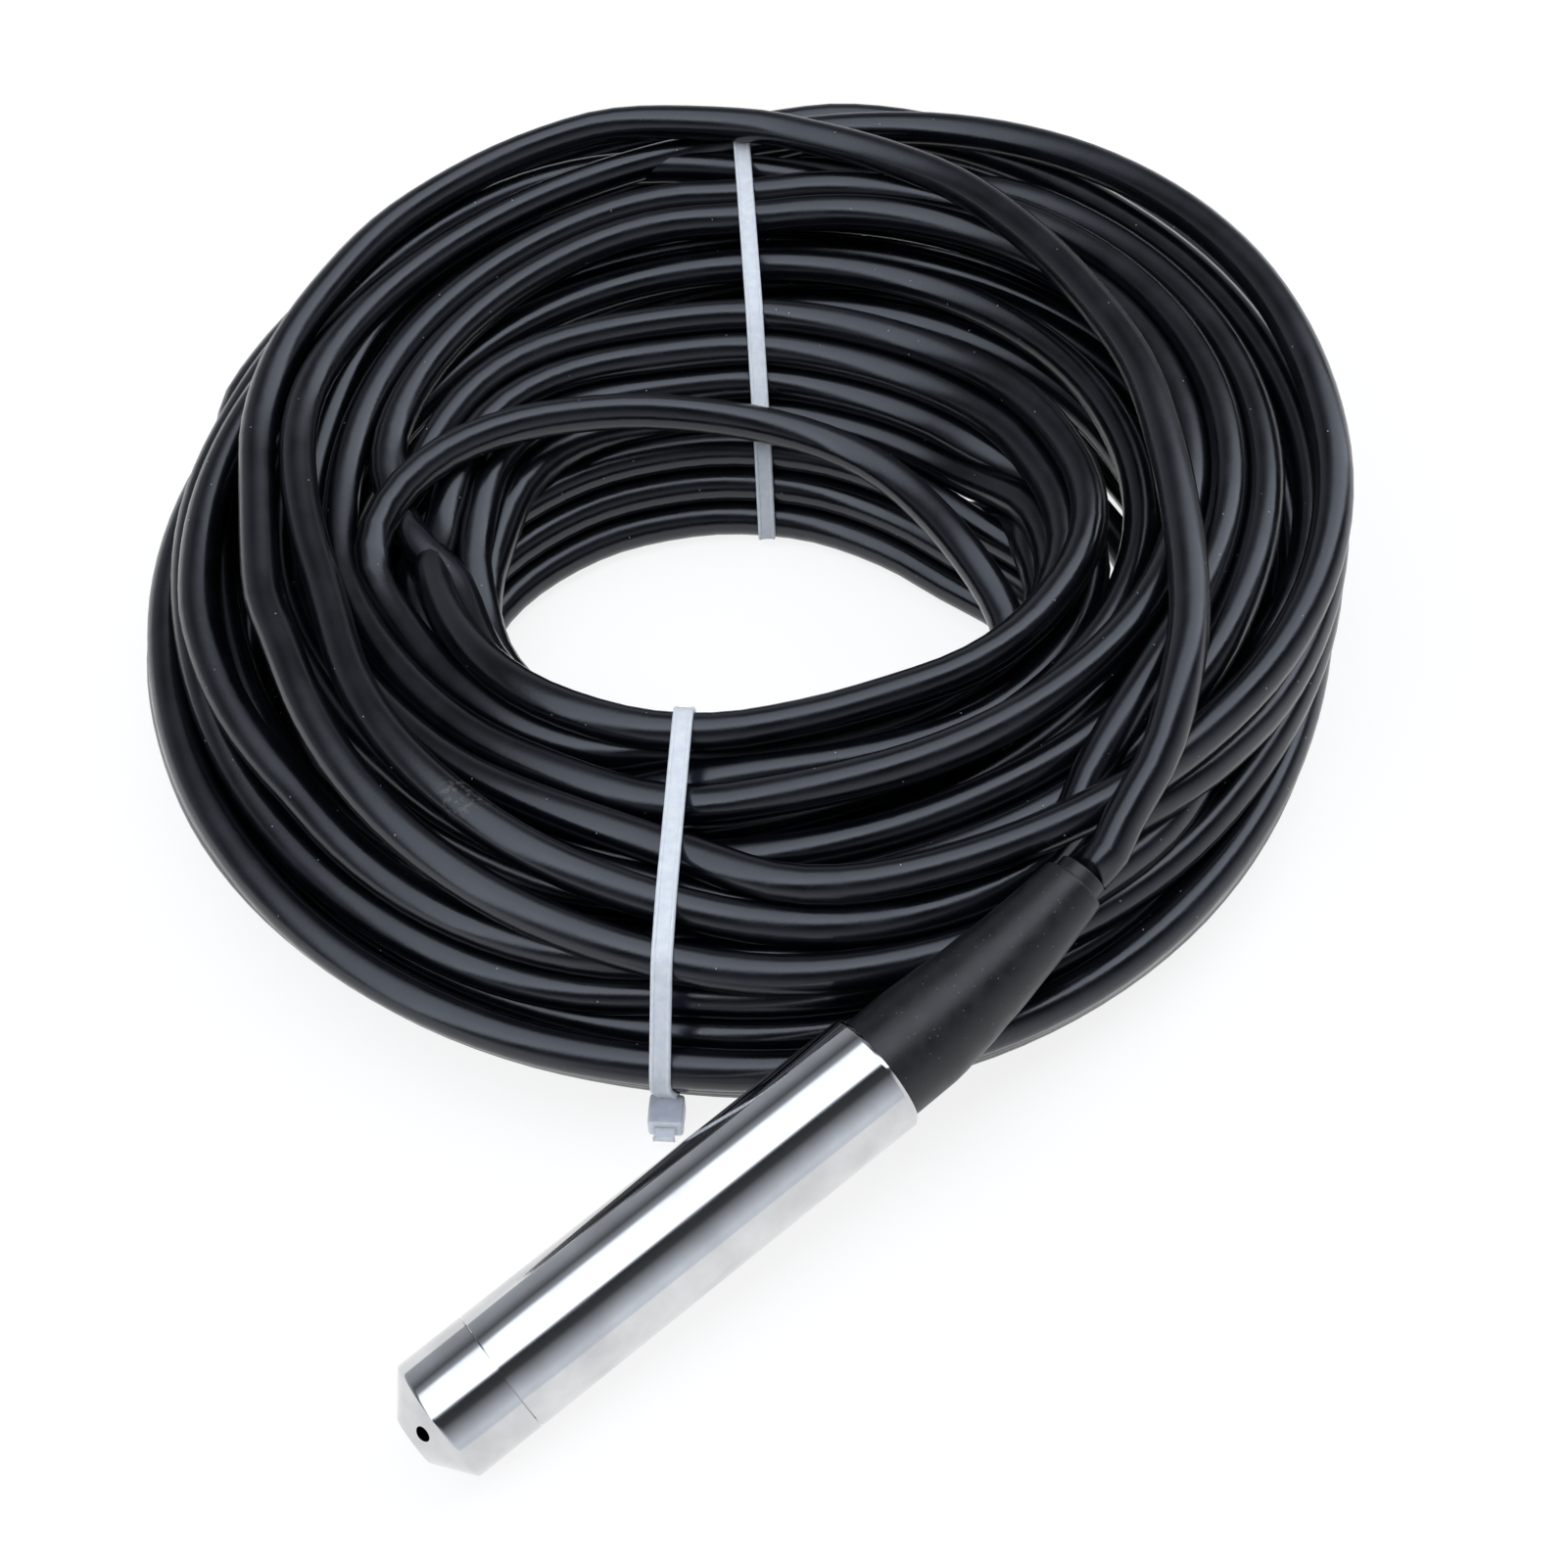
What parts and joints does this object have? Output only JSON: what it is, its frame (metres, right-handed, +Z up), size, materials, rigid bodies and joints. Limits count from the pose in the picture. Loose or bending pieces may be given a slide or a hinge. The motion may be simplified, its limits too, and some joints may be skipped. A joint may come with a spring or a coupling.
{
  "type": "submersible liquid level sensor",
  "caption": "Submersible liquid level sensor with a polished steel probe, a tapered black rubber boot and a tied coil of black vented cable",
  "frame": {"origin": "On the ground below the middle of the probe's box: the nose rests there and the cable coil lies beside the probe", "axes": "+X runs along the probe in plan from nose to rear, +Y points from the probe towards the coil, +Z is up"},
  "size_m": [0.2844, 0.2587, 0.061],
  "materials": {
    "steel_polished": "polished turned stainless steel",
    "steel_plain": "plain machined stainless steel",
    "rubber_boot": "matte moulded rubber",
    "cable_sheath": "satin extruded cable sheath",
    "tie_nylon": "natural translucent nylon",
    "seal_rubber": "plain black seal rubber",
    "board_green": "solder-masked circuit board",
    "chip_black": "moulded chip package",
    "ribbon_amber": "amber flexible circuit",
    "terminal_green": "moulded terminal block",
    "core_red": "red core insulation",
    "core_black": "black core insulation",
    "tube_clear": "natural plastic",
    "brass_plain": "plain brass",
    "trimmer_blue": "blue moulded trimmer"
  },
  "bodies": {
    "root": {"nose_cap": "steel_polished", "housing_tube": "steel_polished", "cell_diaphragm": "steel_plain", "sensor_cell": "steel_plain", "cell_o_ring": "seal_rubber", "cell_retaining_ring": "steel_plain", "cell_ribbon": "ribbon_amber", "circuit_board": "board_green", "carrier_front": "tube_clear", "carrier_rear": "tube_clear", "amplifier_chip": "chip_black", "converter_chip": "chip_black", "filter_capacitor": "brass_plain", "zero_trimmer": "trimmer_blue", "span_trimmer": "trimmer_blue", "terminal_block": "terminal_green", "inner_core_red": "core_red", "inner_core_black": "core_black", "vent_tube": "tube_clear", "rear_plug": "steel_plain", "plug_o_ring": "seal_rubber", "cable_seal": "seal_rubber", "seal_washer": "brass_plain", "clamp_nut": "steel_plain", "strain_relief_boot": "rubber_boot", "cable_inner": "cable_sheath", "cable_lead": "cable_sheath", "cable_coil": "cable_sheath", "cable_tail": "cable_sheath", "tail_core_red": "core_red", "tail_core_black": "core_black", "tail_vent_tube": "tube_clear", "tie_front": "tie_nylon", "tie_back": "tie_nylon"}
  },
  "joints": []
}
